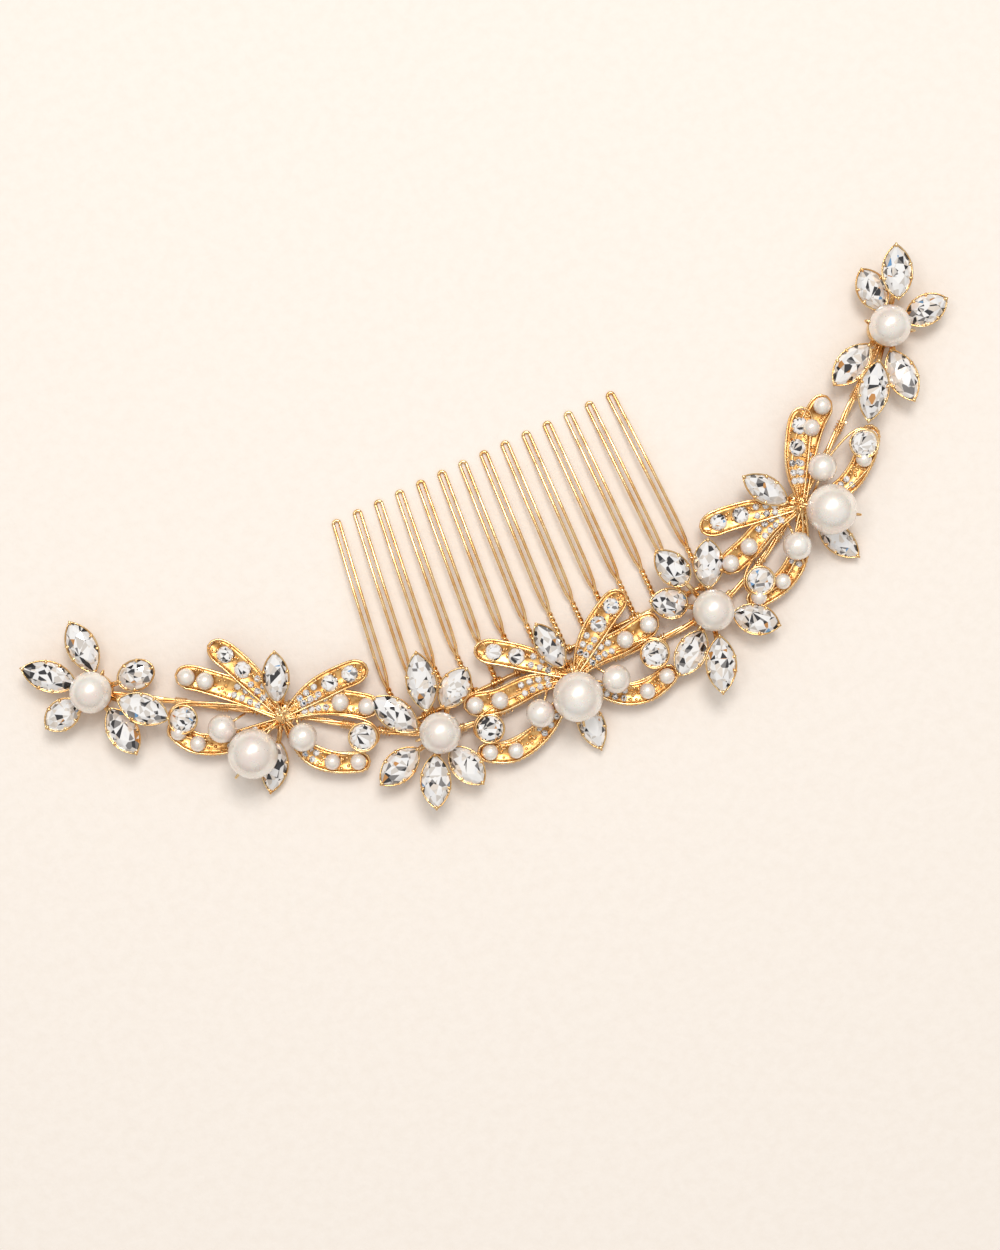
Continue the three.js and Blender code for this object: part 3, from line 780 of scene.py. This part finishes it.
# free leaf: two larger stones near the tip, small chips towards the base, beads between them
def fillPave(metal, stones, place, top, seed):
    taken = []
    for number, s in enumerate((0.80, 0.56)):
        centre = place(s, 0.5, top + 0.1)
        taken.append((centre, pave["stone"] + 0.1))
        roundStone(stones, centre, pave["stone"], pave["height"], seed + number)
        for corner in range(4):
            angle = math.tau * (corner + 0.5) / 4 + 0.3
            claw = Vector((math.cos(angle), math.sin(angle), 0)) * (pave["stone"] + 0.05)
            ball(metal, centre + claw + up * 0.15, pave["claw"], rings=4)
    for number, s in enumerate((0.39, 0.29, 0.20)):
        for t in (0.3, 0.7):
            centre = place(s, t, top)
            taken.append((centre, pave["chip"]))
            roundStone(stones, centre, pave["chip"], 0.8, seed + 9 + number)
    fillBeads(metal, place, top, taken, 70, seed)


# a row of beads under the outer edge of a lower leaf
def edgeBeads(metal, place, t):
    for n in range(26):
        ball(metal, place(0.10 + 0.84 * n / 25, t, levels["deckBottom"] + 0.45), 0.42, rings=4)


leafPearls = {"radius": 1.75, "lower": 1.6, "seatRing": 1.2}


def fillPearls(metal, stones, beads, place, top, spots, radius, seed):
    taken = []
    for spot in spots:
        centre = Vector((spot.x, spot.y, top - 0.2 + radius * 0.7))
        taken.append((centre, radius * 0.9))
        ball(beads, centre, radius, rings=14)
        ring = leafPearls["seatRing"]
        lathe(metal, Matrix.Translation((centre.x, centre.y, top - 0.35)),
              [(ring, 0), (ring + 0.35, 0.1), (ring + 0.3, 0.6), (ring, 0.5), (ring, 0)], steps=16)
    for number, s in enumerate((0.44, 0.36, 0.28, 0.2)):
        for t in (0.3, 0.7):
            centre = place(s, t, top + 0.05)
            taken.append((centre, pave["chip"]))
            roundStone(stones, centre, pave["chip"], 0.8, seed + 9 + number)
    fillBeads(metal, place, top, taken, 80, seed)


def chaton(metal, stones, u, v, seed):
    radius = sprays["chaton"]
    base = levels["deckBottom"]
    matrix = Matrix.Translation((u, v, base))
    outside = [(0, 0), (1.6, 0), (2.3, 0.6), (radius - 0.1, 2.2), (radius, 3.0), (radius - 0.12, 3.2)]
    inside = [(radius - 0.34, 3.1), (radius - 0.4, 2.4), (2.0, 0.9), (1.4, 0.4), (0, 0.4)]
    lathe(metal, matrix, outside + inside, steps=40)
    roundStone(stones, Vector((u, v, base + 2.9)), radius - 0.42, 2.6, seed)


def makeSpray(name):
    layout = sprays[name]
    frameHub = hubMatrix(name)
    metal, floors, stones, beads = bmesh.new(), bmesh.new(), bmesh.new(), bmesh.new()
    top = levels["deckTop"] - 0.15
    rims = []
    for number, (kind, line, width, spots) in enumerate(sprayLeaves(name)):
        place = leafAlong(line, width, blunt=0.18 if kind == "pave" else 0.12)
        seed = number * 13 + len(name)
        raised = top + {"pave": 0.6, "upper": 0.2, "lower": 0}[kind]
        merge(floors, leafFloor(place, sprays["dish"], raised))
        rims.append(leafRim(place, raised + 0.1))
        if kind == "pave":
            fillPave(metal, stones, place, raised, seed)
        else:
            radius = leafPearls["radius"] if kind == "upper" else leafPearls["lower"]
            if kind == "lower":
                edgeBeads(metal, place, 0 if place(0.5, 0).y < place(0.5, 1).y else 1)
            fillPearls(metal, stones, beads, place, raised, spots, radius, seed)
    # a polished band closes the loop round each chaton
    for side, reach in zip((-1, 1), layout["reach"]):
        band = [(1, -0.4), (8, 0.9), (reach - 4, 0.6), (reach - 0.6, -1.0), (reach - 0.3, -3.6),
                (reach - 3.5, -6.2), (reach - 9, -6.4), (5, -4.6), (1, -1.6)]
        rims.append(smoothThrough([Vector((side * u, v, top + 0.2)) for u, v in band], 8))
    left, right = layout["reach"]
    chaton(metal, stones, -left + sprays["chatonInset"], sprays["chatonV"], len(name) + 1)
    chaton(metal, stones, right - sprays["chatonInset"], sprays["chatonV"], len(name) + 2)
    hub = sprays["hub"]
    lathe(metal, Matrix(), [(0, 3.4), (hub - 0.3, 3.4), (hub, 3.7), (hub - 0.3, 4.2), (hub - 1.2, 4.4),
                            (0, 4.45)])
    trim = sprays["stoneTrim"]
    for number, (u, v, turn, length, height, tilt) in enumerate(sprays["stones"]):
        matrix = standing(u, v, turn, height, tilt)
        stoneCup(metal, matrix, length - trim, flowers["width"] - trim)
        cutStone(stones, matrix, length - trim, flowers["width"] - trim, seed=number + 31)
        foot = Vector((0, math.copysign(1.6, v), 3.9))
        rod(metal, foot, matrix @ Vector((-length / 4, 0, -0.8)), 0.55, 0.45)
    for bm in (metal, floors, stones, beads):
        bmesh.ops.transform(bm, matrix=frameHub, verts=bm.verts)
    node = f"{name}_frame"
    newPiece(f"{camel(name)}Leaves", metal, gold, replaced=[node])
    # the leaf floors take the darker gold, which is painted shade between the beads
    newPiece(f"{camel(name)}LeafFloors", floors, recessShadeGold, replaced=[node])
    newPiece(f"{camel(name)}Stones", stones, crystal, replaced=[node], smooth=False)
    newPiece(f"{camel(name)}LeafPearls", beads, pearl, replaced=[node])
    placed = [[frameHub @ point for point in rim] for rim in rims]
    wirePiece(f"{camel(name)}Rims", placed, sprays["rimWire"], replaced=[node])
    makeSprayWires(name, node, frameHub)


# the wires of a spray's pearls rise from the leaves, pass through a pearl and come back under it
def makeSprayWires(name, node, frameHub):
    runs = []
    for pearlName in ("large_pearl", "small_pearl_1", "small_pearl_2"):
        joint = pearlJoints[f"{name}_{pearlName}"]
        radius = radiusOf(joint["child"])
        middle = Vector(joint["pos_m"]) / mm
        along = Vector(joint["axis"])
        if (frameHub.translation - middle).dot(along) < 0:
            along = -along
        knee = radius + pearls["overhang"]
        deck = (levels["deckBottom"] + levels["deckTop"]) / 2
        foot = middle + along * (radius + 2.2)
        foot.z = deck
        back = middle - along * radius * 0.9
        back.z = deck
        runs.append(rounded([foot, middle + along * knee, middle - along * knee, back], 0.6))
    wirePiece(f"{camel(name)}PearlWires", runs, pearls["wire"], replaced=[node])


windings = {"count": 9, "reach": (2.2, 3.4), "rise": 0.35, "stray": 0.6, "wire": 0.19}


# thin wires looped over each hub
def makeHubWindings():
    draw = random.Random(5)
    for name in motifs:
        hub = hubMatrix(name)
        runs = []
        for number in range(windings["count"]):
            angle = draw.uniform(0, math.tau)
            reach = draw.uniform(*windings["reach"])
            rise = levels["deckTop"] + draw.uniform(0, windings["rise"])
            start = Vector((math.cos(angle) * reach, math.sin(angle) * reach, levels["deckBottom"] + 0.2))
            end = Vector((-start.x * 0.9, -start.y, start.z))
            stray = windings["stray"]
            middle = Vector((draw.uniform(-stray, stray), draw.uniform(-stray, stray), rise + 0.2))
            runs.append([hub @ p for p in smoothThrough([start, start.lerp(middle, 0.5) + up * 0.6, middle,
                                                         middle.lerp(end, 0.5) + up * 0.6, end], 8)])
        wirePiece(f"{camel(name)}Windings", runs, windings["wire"], sides=1)


def makeSprays():
    for name in [motif for motif in motifs if motif.startswith("spray")]:
        makeSpray(name)
    print("sprays made")


makeComb()
makeVine()
makePearls()
makeFlowers()
makeSprays()
makeHubWindings()

studio = {
    "paper": (0.94, 0.885, 0.83), "paperShade": (0.92, 0.86, 0.80), "paperGrain": 420, "paperSize": 1.6,
    "worldStrength": 0.74,
    "sky": [(0.0, (0.80, 0.74, 0.68)), (0.50, (0.30, 0.26, 0.22)), (0.62, (0.42, 0.39, 0.36)),
            (0.80, (0.85, 0.83, 0.80)), (1.0, (1.0, 0.98, 0.95))],
    # name, place in metres from the comb's middle, size, watts
    "lamps": [("windowLight", (0.08, 0.50, 1.10), 0.45, 6.0), ("fillLight", (-0.16, 0.12, 0.62), 0.16, 0.45)],
    "lampColour": (1.0, 0.96, 0.92),
    "turn": -25, "aim": (-0.0087, -0.0029), "height": 0.6, "fieldLong": 0.250,
}


def makePaper():
    bm = bmesh.new()
    bmesh.ops.create_grid(bm, x_segments=2, y_segments=2, size=studio["paperSize"])
    mesh = bpy.data.meshes.new("paperFloor")
    bm.to_mesh(mesh)
    bm.free()
    paper = bpy.data.objects.new("paperFloor", mesh)
    bpy.context.scene.collection.objects.link(paper)
    material, nodes, links, shader = newMaterial("watercolourPaper")
    grain = noiseOn(nodes, links, studio["paperGrain"], 6, 0.6)
    tone = rampFrom(nodes, links, grain.outputs["Fac"],
                    [(0.35, studio["paperShade"]), (0.6, studio["paper"])])
    links.new(tone.outputs["Color"], shader.inputs["Base Color"])
    shader.inputs["Roughness"].default_value = 0.9
    shader.inputs["Specular IOR Level"].default_value = 0.1
    addBump(nodes, links, grain.outputs["Fac"], 0.25, 0.0006, shader)
    mesh.materials.append(material)


def makeLight():
    scene = bpy.context.scene
    world = bpy.data.worlds.new("paleRoom")
    scene.world = world
    world.use_nodes = True
    background = world.node_tree.nodes["Background"]
    nodes, links = world.node_tree.nodes, world.node_tree.links
    direction = nodes.new("ShaderNodeTexCoord")
    split = nodes.new("ShaderNodeSeparateXYZ")
    links.new(direction.outputs["Generated"], split.inputs["Vector"])
    lift = nodes.new("ShaderNodeMapRange")
    lift.inputs["From Min"].default_value = -1
    links.new(split.outputs["Z"], lift.inputs["Value"])
    sky = rampFrom(nodes, links, lift.outputs["Result"], studio["sky"])
    links.new(sky.outputs["Color"], background.inputs["Color"])
    background.inputs["Strength"].default_value = studio["worldStrength"]
    for name, place, size, power in studio["lamps"]:
        lamp = bpy.data.lights.new(name, "AREA")
        lamp.shape = "DISK"
        lamp.size = size
        lamp.energy = power
        lamp.color = studio["lampColour"]
        holder = bpy.data.objects.new(name, lamp)
        turn = Matrix.Rotation(math.radians(studio["turn"]), 3, "Z")
        holder.location = turn @ Vector(place) + Vector((*studio["aim"], 0))
        aim = Vector((*studio["aim"], 0)) - holder.location
        holder.rotation_euler = aim.to_track_quat("-Z", "Y").to_euler()
        scene.collection.objects.link(holder)


def makeCamera():
    camera = bpy.data.cameras.new("overheadCamera")
    camera.sensor_fit = "VERTICAL"
    camera.sensor_height = 36
    camera.lens = camera.sensor_height * studio["height"] / studio["fieldLong"]
    holder = bpy.data.objects.new("overheadCamera", camera)
    holder.location = (*studio["aim"], studio["height"])
    holder.rotation_euler = (0, 0, math.radians(studio["turn"]))
    bpy.context.scene.collection.objects.link(holder)
    bpy.context.scene.camera = holder
    bpy.context.scene.view_settings.view_transform = "Standard"


makePaper()
makeLight()
makeCamera()
